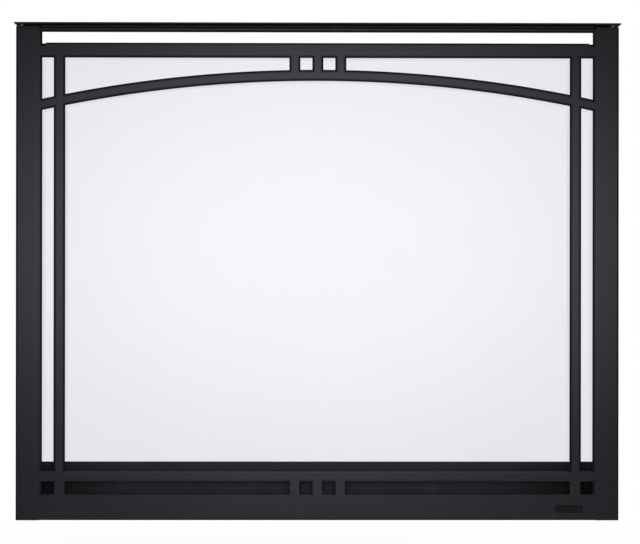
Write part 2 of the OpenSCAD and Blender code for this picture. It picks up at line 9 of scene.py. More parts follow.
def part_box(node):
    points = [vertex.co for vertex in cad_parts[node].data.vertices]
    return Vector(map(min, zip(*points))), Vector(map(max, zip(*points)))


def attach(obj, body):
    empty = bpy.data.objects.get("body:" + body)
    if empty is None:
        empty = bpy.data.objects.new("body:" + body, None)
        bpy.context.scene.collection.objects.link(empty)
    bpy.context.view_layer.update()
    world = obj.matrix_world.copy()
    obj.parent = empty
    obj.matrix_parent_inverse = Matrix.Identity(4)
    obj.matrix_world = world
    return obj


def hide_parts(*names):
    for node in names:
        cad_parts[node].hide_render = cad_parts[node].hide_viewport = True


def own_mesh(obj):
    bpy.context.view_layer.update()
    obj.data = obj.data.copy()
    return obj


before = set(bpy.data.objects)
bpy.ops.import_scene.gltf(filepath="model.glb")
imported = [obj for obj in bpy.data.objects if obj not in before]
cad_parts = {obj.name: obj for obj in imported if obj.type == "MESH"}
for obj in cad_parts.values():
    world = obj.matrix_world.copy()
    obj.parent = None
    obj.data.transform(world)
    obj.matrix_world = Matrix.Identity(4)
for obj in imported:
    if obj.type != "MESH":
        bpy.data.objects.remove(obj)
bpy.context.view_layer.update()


# ----------------------------------------------------------------------------------------
# Jambs of the fixed frame: two folded angles of 2 mm sheet in heat-proof black paint.
# Each is screwed to the firebox through two holes in its flange, and its web closes the
# gap behind the stile.
# ----------------------------------------------------------------------------------------
class Tint:
    """A value, a colour or a place inside a material's nodes.

    +, - and * on a value, from either side, add Math nodes. node() adds any other kind."""

    def __init__(self, tree, socket=None):
        self.tree = tree
        self.socket = socket

    def node(self, kind, values, settings=None, out=0):
        """A node of that kind: its settings first, then its sockets' values or links. out
        is the name or the number of the socket that it gives."""
        new = self.tree.nodes.new(kind)
        for name, value in (settings or {}).items():
            setattr(new, name, value)
        for place, value in values.items():
            if isinstance(value, Tint):
                self.tree.links.new(value.socket, new.inputs[place])
            else:
                new.inputs[place].default_value = value
        return Tint(self.tree, new.outputs[out] if len(new.outputs) else None)

    def maths(self, operation, first, second=0.0):
        """That operation on one value or two."""
        return self.node("ShaderNodeMath", {0: first, 1: second}, {"operation": operation})

    def __add__(self, other):
        return self.maths("ADD", self, other)

    def __sub__(self, other):
        return self.maths("SUBTRACT", self, other)

    def __mul__(self, other):
        return self.maths("MULTIPLY", self, other)

    def __radd__(self, other):
        return self.maths("ADD", other, self)

    def __rsub__(self, other):
        return self.maths("SUBTRACT", other, self)

    def __rmul__(self, other):
        return self.maths("MULTIPLY", other, self)

    def part(self, axis):
        """One of a place's three numbers: its X, Y or Z."""
        return self.node("ShaderNodeSeparateXYZ", {0: self}, None, axis)

    def stretched(self, *scale):
        """The place with each axis scaled, so that a pattern on it is drawn out."""
        return self.node("ShaderNodeMapping", {"Vector": self, "Scale": scale})

    def ray(self, kind):
        """1 for light that comes that way, such as Camera or Glossy, and 0 for any other."""
        return self.node("ShaderNodeLightPath", {}, None, f"Is {kind} Ray")

    def noise(self, scale, detail=3.0, rough=0.55):
        """Smooth noise from 0 to 1, with so many features to the metre."""
        values = {"Vector": self, "Scale": scale, "Detail": detail, "Roughness": rough}
        return self.node("ShaderNodeTexNoise", values)

    def between(self, low, high):
        """0 below low, 1 above high, and a smooth step from one to the other."""
        values = {"Value": self, "From Min": low, "From Max": high}
        return self.node("ShaderNodeMapRange", values, {"interpolation_type": "SMOOTHSTEP"})

    def blend(self, first, second):
        """The first colour where this mask is 0 and the second where it is 1."""
        colours = {0: self, 6: first, 7: second}
        return self.node("ShaderNodeMix", colours, {"data_type": "RGBA"}, 2)


def colour(red, green, blue):
    """A paint's colour as linear light, from its 0 to 255 values on a screen: each is
    divided by 255, then (value + 0.055) / 1.055 is raised to 2.4. Below 0.04045 the value
    is divided by 12.92 instead."""
    value = np.array([red, green, blue]) / 255
    light = np.where(value > 0.04045, ((value + 0.055) / 1.055) ** 2.4, value / 12.92)
    return (*light.tolist(), 1.0)


def begin(name):
    """An empty material, and the Object coordinates that its patterns follow."""
    material = bpy.data.materials.new(name)
    material.use_nodes = True
    material.node_tree.nodes.clear()
    place = Tint(material.node_tree).node("ShaderNodeTexCoord", {}, None, "Object")
    return material, place


# the gloss of black paint leans a little to violet
cold_gloss = (0.93, 0.88, 1.0, 1.0)


def finish(start, base, rough, height=None, strength=0.0, depth=0.0, dull=None, **fixed):
    """Closes a material with one Principled shader. height is what the bump follows, as
    strongly as strength says and at most depth metres deep.

    dull, if given, is how far a matt shader takes over where the coat is too thin or too
    grainy to shine. Seen nearly edge on, the coat is dull as well."""
    values = {"Base Color": base, "Roughness": rough}
    values.update({name.replace("_", " "): value for name, value in fixed.items()})
    if height is not None:
        bump = {"Strength": strength, "Distance": depth, "Height": height}
        values["Normal"] = start.node("ShaderNodeBump", bump)
    shader = start.node("ShaderNodeBsdfPrincipled", values)
    if dull is not None:
        facing = start.node("ShaderNodeLayerWeight", {"Blend": 0.5}, None, "Facing")
        edge_on = facing.between(0.4, 0.85) * 0.72
        matt = start.node("ShaderNodeBsdfDiffuse", {"Color": base})
        shader = start.node("ShaderNodeMixShader", {0: edge_on + dull, 1: shader, 2: matt})
    start.node("ShaderNodeOutputMaterial", {"Surface": shader})


def make_inner_coat():
    """Matt heat-proof paint: fine grain, cloudy tone, paler rubbed patches, and painted shade low
    down towards both ends, for the shade in the corners of the recess. The painted shade grows
    with the square of the distance from the middle."""
    material, place = begin("inner coat")
    cloud = place.noise(9.0, 4.0)
    grain = place.noise(900.0, 2.0)
    rubbed = (place.noise(26.0, 6.0) * 0.8 + grain * 0.2).between(0.56, 0.72)
    from_middle = place.part("X") + 0.015
    ends = (from_middle * from_middle + cloud * 0.02).between(0.07, 0.25)
    # painted shade: low down towards both ends the coat turns nearly black, for the shade that
    # the stiles and bars cast into the recess
    soot_and_painted_shade = ends * (1 - place.part("Z").between(-0.36, -0.3)) * 0.9
    base = cloud.blend(colour(36, 35, 40), colour(45, 44, 49))
    base = (rubbed * 0.35).blend(base, colour(74, 73, 78))
    base = soot_and_painted_shade.blend(base, colour(9, 8, 9))
    rough = 0.6 + cloud * 0.12 - rubbed * 0.08
    dull = rubbed * 0.2 + soot_and_painted_shade * 0.7
    finish(place, base, rough, grain, strength=0.25, depth=0.0001, dull=dull,
           Specular_IOR_Level=0.25, Specular_Tint=cold_gloss)
    return material


inner_coat = make_inner_coat()


def show(name, mesh, material, body, node):
    """Puts a finished mesh in the scene, in place of that CAD node, riding on that body."""
    mesh.materials.append(material)
    piece = bpy.data.objects.new(name, mesh)
    bpy.context.scene.collection.objects.link(piece)
    flats = piece.modifiers.new("flat faces stay flat", "WEIGHTED_NORMAL")
    flats.keep_sharp = True
    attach(piece, body)
    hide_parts(node)
    return piece


def eased(name, node, width, material, body):
    """The CAD solid with its triangles joined into flat faces, and with a bevel of that
    width in millimetres along every edge where the faces turn by more than 40 degrees."""
    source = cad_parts[node].data
    points = np.empty(len(source.vertices) * 3)
    source.vertices.foreach_get("co", points)
    triangles = np.empty(len(source.polygons) * 3, int)
    source.polygons.foreach_get("vertices", triangles)
    mesh = bpy.data.meshes.new(name)
    mesh.from_pydata(points.reshape(-1, 3).tolist(), [], triangles.reshape(-1, 3).tolist())
    shape = bmesh.new()
    shape.from_mesh(mesh)
    same_place, same_plane = 2e-6, math.radians(0.5)
    bmesh.ops.remove_doubles(shape, verts=shape.verts, dist=same_place)
    bmesh.ops.dissolve_limit(
        shape, angle_limit=same_plane, verts=shape.verts, edges=shape.edges
    )
    shape.to_mesh(mesh)
    shape.free()
    mesh.shade_smooth()
    piece = show(name, mesh, material, body, node)
    round_off = piece.modifiers.new("eased edges", "BEVEL")
    round_off.width = width / 1000
    round_off.segments = 2
    round_off.limit_method = "ANGLE"
    round_off.angle_limit = math.radians(40)
    round_off.miter_outer = "MITER_ARC"
    # the bevel comes before the step that keeps the flat faces flat
    piece.modifiers.move(1, 0)
    return piece


sheet_edge = 0.35
for side in ("left", "right"):
    jamb = f"jamb_{side}"
    eased(f"wall_{jamb}", jamb, sheet_edge, inner_coat, "frame")


# ----------------------------------------------------------------------------------------
# Head rail and sill rail: folded angles of the same sheet between the two jambs, which
# stiffen the frame and close it behind the upper rail and the bottom of the door.
# ----------------------------------------------------------------------------------------
eased("wall_head_rail", "head_rail", sheet_edge, inner_coat, "frame")
eased("wall_sill_rail", "sill_rail", sheet_edge, inner_coat, "frame")


# ----------------------------------------------------------------------------------------
# Cap: a flat plate of 2.5 mm sheet that rests on the jambs and stands out over the door,
# with a narrow flange behind that drops between them. It has the face's powder coat.
# ----------------------------------------------------------------------------------------
def make_powder_coat():
    """Satin black powder coat: the faint orange peel of melted powder, a cloudy tone, and
    a thinner, duller coat where the mesh's edge attribute says that an edge is rounded."""
    material, place = begin("satin black powder coat")
    cloud = place.noise(4.0, 3.0)
    peel = place.noise(260.0, 2.0, 0.4)
    grit = place.noise(1500.0, 2.0)
    edge = place.node("ShaderNodeAttribute", {}, {"attribute_name": "edge"}, "Fac")
    thin = edge * (peel * 0.7 + grit * 0.6).between(0.45, 0.85)
    base = cloud.blend(colour(18, 17, 21), colour(23, 22, 26))
    base = (thin * 0.1).blend(base, colour(62, 61, 66))
    rough = 0.21 + cloud * 0.05 + grit * 0.05 + thin * 0.1
    height = peel * 0.8 + grit * 0.2
    finish(place, base, rough, height, strength=0.12, depth=0.00012, dull=edge * 0.9,
           Specular_IOR_Level=0.54, Specular_Tint=cold_gloss)
    return material


powder_coat = make_powder_coat()


def carried(rings, closed=False):
    """A closed outline carried along a path: rings[i, k] is point k of the outline at the
    i-th place. Four-sided faces join neighbouring rings, and one face closes each end,
    unless the path itself is closed."""
    places, points = rings.shape[:2]
    here = np.arange(places if closed else places - 1)[:, None] * points
    there = (here + points) % (places * points)
    k = np.arange(points)[None, :]
    after = (k + 1) % points
    faces = np.stack([here + k, here + after, there + after, there + k], -1)
    faces = faces.reshape(-1, 4).tolist()
    if not closed:
        faces.append(list(range(points))[::-1])
        faces.append(list(range((places - 1) * points, places * points)))
    return rings.reshape(-1, 3), faces


def mesh_of(name, shells):
    """One mesh from closed shells in millimetres, with its faces turned outwards. A shell
    is its points, its faces and, if it has any, how much of a rounded edge each point is.
    It is shaded smooth, apart from the edges where its faces turn by 35 degrees or more."""
    points = np.concatenate([shell[0] for shell in shells])
    starts = np.cumsum([0] + [len(shell[0]) for shell in shells])
    faces = [
        [start + corner for corner in face]
        for start, shell in zip(starts, shells)
        for face in shell[1]
    ]
    mesh = bpy.data.meshes.new(name)
    mesh.from_pydata((points / 1000).tolist(), [], faces)
    edge = [shell[2] if len(shell) > 2 else np.zeros(len(shell[0])) for shell in shells]
    values = mesh.attributes.new("edge", "FLOAT", "POINT").data
    values.foreach_set("value", np.concatenate(edge))
    shape = bmesh.new()
    shape.from_mesh(mesh)
    bmesh.ops.recalc_face_normals(shape, faces=shape.faces)
    shape.to_mesh(mesh)
    shape.free()
    mesh.shade_smooth()
    mesh.set_sharp_from_angle(angle=math.radians(35))
    return mesh


def mitres(outline, closed=True):
    """For each corner of an outline that runs anticlockwise, the step that moves it out by
    one on both its sides at once: the sum of the two sides' normals, over one plus their
    product."""
    after = np.roll(outline, -1, 0) - outline
    after = after / np.maximum(np.linalg.norm(after, axis=1, keepdims=True), 1e-9)
    if not closed:
        after[-1] = after[-2]
    before = np.roll(after, 1, 0)
    if not closed:
        before[0] = after[0]
    out_after = np.stack([after[:, 1], -after[:, 0]], 1)
    out_before = np.stack([before[:, 1], -before[:, 0]], 1)
    product = (out_after * out_before).sum(1, keepdims=True)
    return (out_after + out_before) / (1 + product)


def quarter(radius):
    """A quarter of a circle in six points: radius times 1 - sin is how far in from the edge
    each point is, and radius times 1 - cos is how far along."""
    turn = np.linspace(0, math.pi / 2, 6)
    return radius * (1 - np.sin(turn)), radius * (1 - np.cos(turn))


def worn(count):
    """How thin the coat is over the points of a bend: a sine, with its top in the middle."""
    return np.sin(np.linspace(0, math.pi, count))


def round_corners(points, radii, steps):
    """An outline whose corners are arcs of so many steps. Each arc touches both its sides,
    and its centre is on the line that halves the corner. A radius of 0 leaves it sharp."""
    points = np.array(points, float)
    outline = []
    for before, corner, after, radius in zip(
        np.roll(points, 1, 0), points, np.roll(points, -1, 0), radii
    ):
        back = (before - corner) / np.linalg.norm(before - corner)
        on = (after - corner) / np.linalg.norm(after - corner)
        half = math.acos(np.clip(back @ on, -1, 1)) / 2
        if radius == 0:
            outline.append(corner[None])
            continue
        middle = (back + on) / np.linalg.norm(back + on)
        centre = corner + middle * radius / math.sin(half)
        swing = np.linspace(-1, 1, steps + 1)[:, None] * (math.pi / 2 - half)
        across = (on - back) / np.linalg.norm(on - back)
        outline.append(centre - middle * radius * np.cos(swing) + across * radius * np.sin(swing))
    return np.concatenate(outline)


def slab(outline, low, high, ease, axis):
    """A plate with that outline between two levels of an axis, with its edges rounded by
    ease. Each ring is the outline, moved in along its mitres as the rounding asks."""
    inset, level = quarter(ease)
    depth = np.concatenate([inset, inset[::-1]])[:, None, None]
    height = np.concatenate([low + level, high - level[::-1]])
    ring = outline[None] - depth * mitres(outline)[None]
    rings = np.empty((*ring.shape[:2], 3))
    others = [other for other in range(3) if other != axis]
    rings[..., others] = ring
    rings[..., axis] = height[:, None]
    edge = np.tile(worn(len(inset)), 2)[:, None] * np.ones(len(outline))
    return (*carried(rings), edge.ravel())


def box_outline(x0, x1, z0, z1, radius=0.0, steps=6):
    """A rectangle, anticlockwise, with its corners rounded to that radius."""
    outline = [(x0, z0), (x1, z0), (x1, z1), (x0, z1)]
    return round_corners(outline, [radius] * 4, steps)


def corners(node):
    """The lowest and the highest corner of a CAD node, in millimetres."""
    low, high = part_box(node)
    return np.array(low) * 1000, np.array(high) * 1000


def make_cap():
    """Two slabs, each a flat outline raised along Z: the plate, and the flange, whose ends
    stop just short of the jambs' webs and whose top is sunk halfway into the plate."""
    low, high = corners("cap")
    thickness, corner_r = 2.5, 2.0
    plate_ease, flange_ease = 0.8, 0.4
    plate = box_outline(low[0], high[0], low[1], high[1], corner_r)
    gap = 0.05
    flange_end = corners("jamb_right")[0][0] - gap
    flange = box_outline(-flange_end, flange_end, -thickness, 0)
    shells = [
        slab(plate, high[2] - thickness, high[2], plate_ease, axis=2),
        slab(flange, low[2], high[2] - thickness / 2, flange_ease, axis=2),
    ]
    show("cap_plate", mesh_of("cap", shells), powder_coat, "frame", "cap")


make_cap()


# ----------------------------------------------------------------------------------------
# Fixed pivots: zinc-plated brackets welded to the left jamb, a turned steel pin and a
# thrust washer below, and a flanged bronze bushing above for the door's sprung pin.
# ----------------------------------------------------------------------------------------
def make_zinc():
    """Bright zinc plate over rolled steel: a faint grain, a cloudy tone and dull spots."""
    material, place = begin("zinc plate")
    grain = place.stretched(60.0, 60.0, 900.0).noise(1.0, 3.0)
    cloud = place.noise(60.0, 4.0)
    spots = place.noise(420.0, 3.0).between(0.62, 0.72)
    base = cloud.blend(colour(176, 178, 182), colour(202, 201, 196))
    base = (spots * 0.5).blend(base, colour(128, 129, 132))
    rough = 0.27 + cloud * 0.14 + spots * 0.22
    height = grain * 0.7 + cloud * 0.3
    finish(place, base, rough, height, strength=0.15, depth=0.0001, Metallic=1.0)
    return material


def make_turned_steel():
    """Bright turned steel, with the fine rings that the tool leaves round the upright axis:
    noise that is packed 650 times closer along Z than across."""
    material, place = begin("turned steel")
    lines = place.stretched(4.0, 4.0, 2600.0).noise(1.0, 2.0)
    cloud = place.noise(90.0, 3.0)
    base = lines.blend(colour(150, 151, 155), colour(196, 197, 200))
    rough = 0.2 + cloud * 0.16 + lines * 0.08
    finish(place, base, rough, lines, strength=0.3, depth=0.00005, Metallic=1.0)
    return material


def make_bronze():
    """Oil-filled sintered bronze: warm and matt, with fine dark pores."""
    material, place = begin("sintered bronze")
    cloud = place.noise(120.0, 3.0)
    pores = place.noise(2600.0, 2.0).between(0.56, 0.7)
    base = cloud.blend(colour(148, 112, 66), colour(176, 138, 86))
    base = (pores * 0.7).blend(base, colour(70, 50, 30))
    rough = 0.38 + cloud * 0.12 + pores * 0.2
    finish(place, base, rough, 1 - pores, strength=0.3, depth=0.0001, Metallic=1.0)
    return material


zinc = make_zinc()
turned_steel = make_turned_steel()
bronze = make_bronze()


def turned(axis, profile, steps=48, bored=False, squeeze=None):
    """A turned piece on an upright axis. The profile gives radius and height: from end to
    end of a solid piece, or once round the section of a bored one. squeeze, if given,
    multiplies the radius by a number for each place round the piece."""
    profile = np.array(profile, float)
    turn = np.arange(steps) / steps * 2 * math.pi
    grow = np.ones(steps) if squeeze is None else squeeze(turn)
    radius = profile[:, :1] * grow[None]
    x = axis[0] + radius * np.cos(turn)
    y = axis[1] + radius * np.sin(turn)
    z = np.broadcast_to(profile[:, 1:], x.shape)
    rings = np.stack([x, y, z], -1)
    return carried(rings.swapaxes(0, 1), True) if bored else carried(rings)


pin_low, pin_high = corners("lower_pivot_pin")
pivot = (pin_low[:2] + pin_high[:2]) / 2


def make_lower_pin():
    """A solid round bar: chamfered foot, and a head that tapers in three steps."""
    r = (pin_high[0] - pin_low[0]) / 2
    foot, top = pin_low[2], pin_high[2]
    chamfer, taper, centre_r = 0.8, 1.6, 0.6
    profile = [
        (r - chamfer, foot), (r, foot + chamfer), (r, top - taper),
        (r - 0.3, top - 0.9), (r - 1.2, top), (centre_r, top),
    ]
    pin = mesh_of("lower pin", [turned(pivot, profile)])
    show("hinge_pin_lower", pin, turned_steel, "frame", "lower_pivot_pin")


def make_washer():
    """A flat ring: the rectangle between its bore and its rim, turned round the pivot."""
    low, high = corners("thrust_washer")
    rim, bore, ease = (high[0] - low[0]) / 2, 5.2, 0.3
    ring = box_outline(bore, rim, low[2], high[2], ease, steps=3)
    washer = mesh_of("washer", [turned(pivot, ring, bored=True)])
    show("hinge_washer", washer, zinc, "frame", "thrust_washer")


def make_bushing(name, node, body, flange_top, flange_ease, bore):
    """A sleeve with a wall of 2 mm and a flange at its foot, whose six-cornered section is
    turned round the pivot. bore is its radius inside."""
    low, high = corners(node)
    rim, wall, ease = (high[0] - low[0]) / 2, bore + 2.0, 0.4
    z0, z1 = low[2], high[2]
    section = [
        (bore, z0), (rim, z0), (rim, flange_top), (wall, flange_top), (wall, z1), (bore, z1),
    ]
    ring = round_corners(section, [ease, ease, flange_ease, 0.0, ease, ease], steps=3)
    bushing = mesh_of(name, [turned(pivot, ring, bored=True)])
    show(name, bushing, bronze, body, node)


bracket_edge = 0.5
eased("hinge_bracket_lower", "lower_pivot_bracket", bracket_edge, zinc, "frame")
eased("hinge_bracket_upper", "upper_pivot_bracket", bracket_edge, zinc, "frame")
make_lower_pin()
make_washer()
bracket_t = 4.0
arm_low = corners("upper_pivot_bracket")[1][2] - bracket_t
make_bushing("hinge_bushing_upper", "upper_bushing", "frame", arm_low, 0.2, bore=4.05)


# ----------------------------------------------------------------------------------------
# Magnetic catches: moulded black housings on the right jamb. Each has a nickel-plated
# magnet set flush in its pocket, and a button-head screw through each of its two ears.
# ----------------------------------------------------------------------------------------
def make_moulding():
    """Black moulded plastic with a fine spark-eroded grain."""
    material, place = begin("moulded black plastic")
    cloud = place.noise(40.0, 3.0)
    grain = place.noise(2200.0, 3.0)
    base = cloud.blend(colour(24, 24, 25), colour(34, 33, 34))
    rough = 0.42 + grain * 0.2
    finish(place, base, rough, grain, strength=0.35, depth=0.00008, Specular_IOR_Level=0.45)
    return material


def make_nickel():
    """Nickel plate on a magnet: bright, a little cloudy, and scuffed in a few places."""
    material, place = begin("nickel plate")
    cloud = place.noise(160.0, 4.0)
    scuffs = place.stretched(300.0, 900.0, 2500.0).noise(1.0, 4.0).between(0.58, 0.68)
    base = cloud.blend(colour(150, 147, 140), colour(192, 188, 180))
    rough = 0.2 + cloud * 0.1 + scuffs * 0.25
    finish(place, base, rough, scuffs, strength=0.1, depth=0.00005, Metallic=1.0)
    return material


moulding = make_moulding()
nickel = make_nickel()


def screw(x, y, z, towards, head_r, head_h, shank_r, length, key):
    """A button-head screw with a hexagon socket, its head standing out along +Y or -Y from
    the level y.

    It is a stack of rings: the tip and the shank, the head's brim, the dome, and the socket.
    Over the dome the radius goes from the head's nearly to the socket's rim, as the root of
    1 minus 0.98 of the height squared. A ring is a circle outside. In the socket it is a
    hexagon, whose radius is half the key's width over the cosine of the angle from the
    middle of the nearest flat."""
    sides, flat = 36, math.pi / 3
    turn = np.arange(sides) / sides * 2 * math.pi
    circle = np.ones(sides)
    hexagon = key / 2 / np.cos(np.mod(turn, flat) - flat / 2)
    tip, brim, edge, mouth, socket, drill = 0.5, 0.25, 0.3, 0.15, 1.3, 1.5
    dome = np.linspace(0.15, 1, 5)
    rim = key / 2 * 1.3
    dome_r = rim + (head_r - rim) * np.sqrt(1 - dome**2 * 0.98)
    radii = [shank_r - tip, shank_r, shank_r, shank_r, head_r - edge, head_r, *dome_r]
    rings = [radius * circle for radius in radii] + [hexagon, hexagon, hexagon * 0.6]
    levels = [-length, -length + 0.6, -length / 2, 0.0, 0.0, brim]
    levels += [*(edge + (head_h - edge) * dome), head_h - mouth, head_h - socket, head_h - drill]
    rings = np.array(rings)
    across = x + rings * np.cos(turn)
    up = z + rings * np.sin(turn)
    along = np.broadcast_to(y + towards * np.array(levels)[:, None], across.shape)
    return carried(np.stack([across, along, up], -1))


def make_magnets():
    """Two square bars, each a slab along Y between the node's front and back."""
    low, high = corners("catch_magnets")
    tall, ease = 21.9, 0.5
    shells = [
        slab(box_outline(low[0], high[0], foot, foot + tall), low[1], high[1], ease, axis=1)
        for foot in (low[2], high[2] - tall)
    ]
    magnets = mesh_of("magnets", shells)
    show("catch_magnet_pair", magnets, nickel, "frame", "catch_magnets")


def make_catch_screws():
    """Four screws on one upright line, one in the middle of each ear of the housings. Each
    head lies on the front of its ear, which is 2 mm thick on the jamb's 2 mm flange."""
    low, high = corners("catch_housings")
    half_ear, ear_to_ear, ear_front = 5, 42, -4
    lowest, highest = low[2] + half_ear, high[2] - half_ear
    places = [lowest, lowest + ear_to_ear, highest - ear_to_ear, highest]
    low, high = corners("catch_magnets")
    x = (low[0] + high[0]) / 2
    head_r, head_h, shank_r, length, key = 3.5, 2.4, 2.0, 3.5, 2.5
    sizes = (head_r, head_h, shank_r, length, key)
    shells = [screw(x, ear_front, z, -1, *sizes) for z in places]
    screws = mesh_of("catch screws", shells)
    show("catch_screw_set", screws, zinc, "frame", "catch_screws")


housing_edge = 0.6
eased("catch_housing_pair", "catch_housings", housing_edge, moulding, "frame")
make_magnets()
make_catch_screws()


# ----------------------------------------------------------------------------------------
# Face of the door: 2.5 mm sheet members welded flush and ground, then powder coated, so
# that the bars, the arch and the rails read as one plate with rounded front edges. The
# stiles, the top rail, the upper rail and the bottom rail are folded back at their bends.
# ----------------------------------------------------------------------------------------
face_front = corners("lower_rail")[0][1]
face_back = corners("lower_rail")[1][1]
sheet = face_back - face_front
bend = 3.5
edge_r = 2.0
back_ease = 0.3
# how far from an opening's edge the thin coat reaches
lap = edge_r + 3.6

stile_low, stile_high = corners("stile_right")
stile_x = stile_low[0]
joint = stile_x + lap
upper_low, upper_high = corners("upper_rail")
top_low, top_high = corners("top_rail")
lower_low, lower_high = corners("lower_rail")
bottom_low, bottom_high = corners("bottom_rail")
bar_low, bar_high = corners("vertical_bar_right")
bar_in, bar_out = bar_low[0], bar_high[0]
notch_x, notch_z = stile_x - 6, upper_high[2] - 2.5

post_w = 19.1
outer_post = corners("centre_posts")[1][0] - post_w / 2
post_ends = np.add.outer([-outer_post, 0.0, outer_post], [-post_w / 2, post_w / 2]).ravel()

arch_r = 2254.0
arch_h = 19.2
# about how far apart the points along its edges are
arch_step = 14
arch_centre = corners("arch_bar")[1][2] - arch_r
arch_top_r, arch_under_r = arch_r - lap, arch_r - arch_h + lap

members = {name: [] for name in (
    "stile_left", "stile_right", "top_rail", "upper_rail", "arch_bar", "vertical_bar_left",
    "vertical_bar_right", "centre_posts", "lower_rail", "lower_posts", "bottom_rail",
)}


def arch_z(x, radius):
    """Height over the point x of a circle of that radius round the arch's centre: the
    centre's height plus the root of the radius squared less x squared."""
    return arch_centre + np.sqrt(radius**2 - np.asarray(x, float) ** 2)


def arc(x0, x1, radius, steps):
    """Points along that circle, evenly spaced in x from x0 to x1."""
    x = np.linspace(x0, x1, steps + 1)
    return np.stack([x, arch_z(x, radius)], 1)


def beads(outline, closed, runs):
    """Rounded edges of an opening whose outline runs anticlockwise, seen from the room.

    The section of the edge is a quarter circle at the front, the flank of the sheet and a
    small easing at the back. Each point of the section follows the outline, moved into the
    metal by its own depth along the mitres, so that edges meet cleanly in the corners. The
    coat is thin on the rounding, and from there it thickens evenly over the lap.
    runs gives the first and last point of each edge and the member that it belongs to."""
    depth, along = quarter(edge_r)
    depth = np.concatenate([[lap], depth, [0.0, back_ease, lap]])
    level = face_front + np.concatenate([[0.0], along, [sheet - back_ease, sheet, sheet]])
    step = mitres(outline, closed)
    moved = outline[:, None] + depth[None, :, None] * step[:, None]
    level = np.broadcast_to(level, moved.shape[:2])
    rings = np.stack([moved[..., 0], level, moved[..., 1]], -1)
    thin = np.where(depth < lap, 1.0, 0.0)
    # low down, the rounding keeps nearly all of its coat
    thinness = {"lower_rail": 0.1, "lower_posts": 0.1, "bottom_rail": 0.4}
    for first, last, member in runs:
        span = rings[np.arange(first, last + 1) % len(outline)]
        edge = thin * thinness.get(member, 1.0) * np.ones((len(span), 1))
        members[member].append((*carried(span), edge.ravel()))


def flat(outline):
    """The flat middle of a member: its outline at the front of the sheet and at the back."""
    ring = np.array(outline, float)
    rings = np.stack([np.insert(ring, 1, level, 1) for level in (face_front, face_back)])
    return carried(rings)


def folded(edge, reach, back, ends, along):
    """A member folded back at its outer edge: an L-shaped outline carried along X or Z.

    edge is where the fold's outer side is and reach is where the flat stops, both measured
    across the member. back is how far back its flange goes. The two ends are measured along
    it, on the axis that along numbers: 0 for X and 2 for Z."""
    inner = edge + np.sign(reach - edge) * sheet
    points = [
        (edge, face_front), (reach, face_front), (reach, face_back),
        (inner, face_back), (inner, back), (edge, back),
    ]
    radii = [bend, 0.0, 0.0, bend - sheet, back_ease, back_ease]
    arc_points = 7
    outline = round_corners(points, radii, arc_points - 1)
    ring = np.empty((2, len(outline), 3))
    ring[..., 2 - along] = outline[:, 0]
    ring[..., 1] = outline[:, 1]
    ring[..., along] = np.array(ends)[:, None]
    thin = np.zeros(len(outline))
    thin[:arc_points] = worn(arc_points)
    return (*carried(ring), np.tile(thin, 2))


def mirrored(shell):
    """The same shell on the other side of the door, with each x turned to -x."""
    points = shell[0] * np.array([-1, 1, 1])
    return (points, *shell[1:])


def ease_air_slot():
    """The slot under the top rail, with a relief notch at each lower corner. The rest of its
    lower edge is the upper rail's own bend."""
    slot = np.array([
        [notch_x, notch_z], [stile_x, notch_z], [stile_x, top_low[2]],
        [-stile_x, top_low[2]], [-stile_x, notch_z], [-notch_x, notch_z],
    ])
    runs = [(0, 1, "upper_rail"), (1, 2, "stile_right"), (2, 3, "top_rail"),
            (3, 4, "stile_left"), (4, 5, "upper_rail")]
    beads(slot, False, runs)


def ease_over_arch():
    """The openings over the arch: each has the arch's outer circle as its lower edge."""
    edges = [
        (-stile_x, -bar_out, "stile_left", "vertical_bar_left"),
        (-bar_in, post_ends[0], "vertical_bar_left", "centre_posts"),
        (post_ends[1], post_ends[2], "centre_posts", "centre_posts"),
        (post_ends[3], post_ends[4], "centre_posts", "centre_posts"),
        (post_ends[5], bar_in, "centre_posts", "vertical_bar_right"),
        (bar_out, stile_x, "vertical_bar_right", "stile_right"),
    ]
    for x0, x1, left, right in edges:
        steps = max(2, int((x1 - x0) / arch_step))
        top = [[x1, upper_low[2]], [x0, upper_low[2]]]
        ring = np.concatenate([arc(x0, x1, arch_r, steps), top])
        runs = [(0, steps, "arch_bar"), (steps, steps + 1, right),
                (steps + 1, steps + 2, "upper_rail"), (steps + 2, steps + 3, left)]
        beads(ring, True, runs)


def ease_under_arch():
    """The openings under the arch: each has the arch's inner circle as its upper edge."""
    edges = [
        (-stile_x, -bar_out, "stile_left", "vertical_bar_left"),
        (-bar_in, bar_in, "vertical_bar_left", "vertical_bar_right"),
        (bar_out, stile_x, "vertical_bar_right", "stile_right"),
    ]
    for x0, x1, left, right in edges:
        steps = max(2, int((x1 - x0) / arch_step))
        foot = [[x0, lower_high[2]], [x1, lower_high[2]]]
        ring = np.concatenate([foot, arc(x1, x0, arch_r - arch_h, steps)])
        runs = [(0, 1, "lower_rail"), (1, 2, right), (2, 2 + steps, "arch_bar"),
                (2 + steps, 3 + steps, left)]
        beads(ring, True, runs)


def ease_low_slots():
    """The slots and squares between the lower rail and the bottom rail, all rectangles."""
    stops = [-stile_x, -bar_out, -bar_in, *post_ends, bar_in, bar_out, stile_x]
    sides = ["stile_left", *["lower_posts"] * 10, "stile_right"]
    for i in range(0, len(stops), 2):
        ring = box_outline(stops[i], stops[i + 1], bottom_high[2], lower_low[2])
        runs = [(0, 1, "bottom_rail"), (1, 2, sides[i + 1]),
                (2, 3, "lower_rail"), (3, 4, sides[i])]
        beads(ring, True, runs)


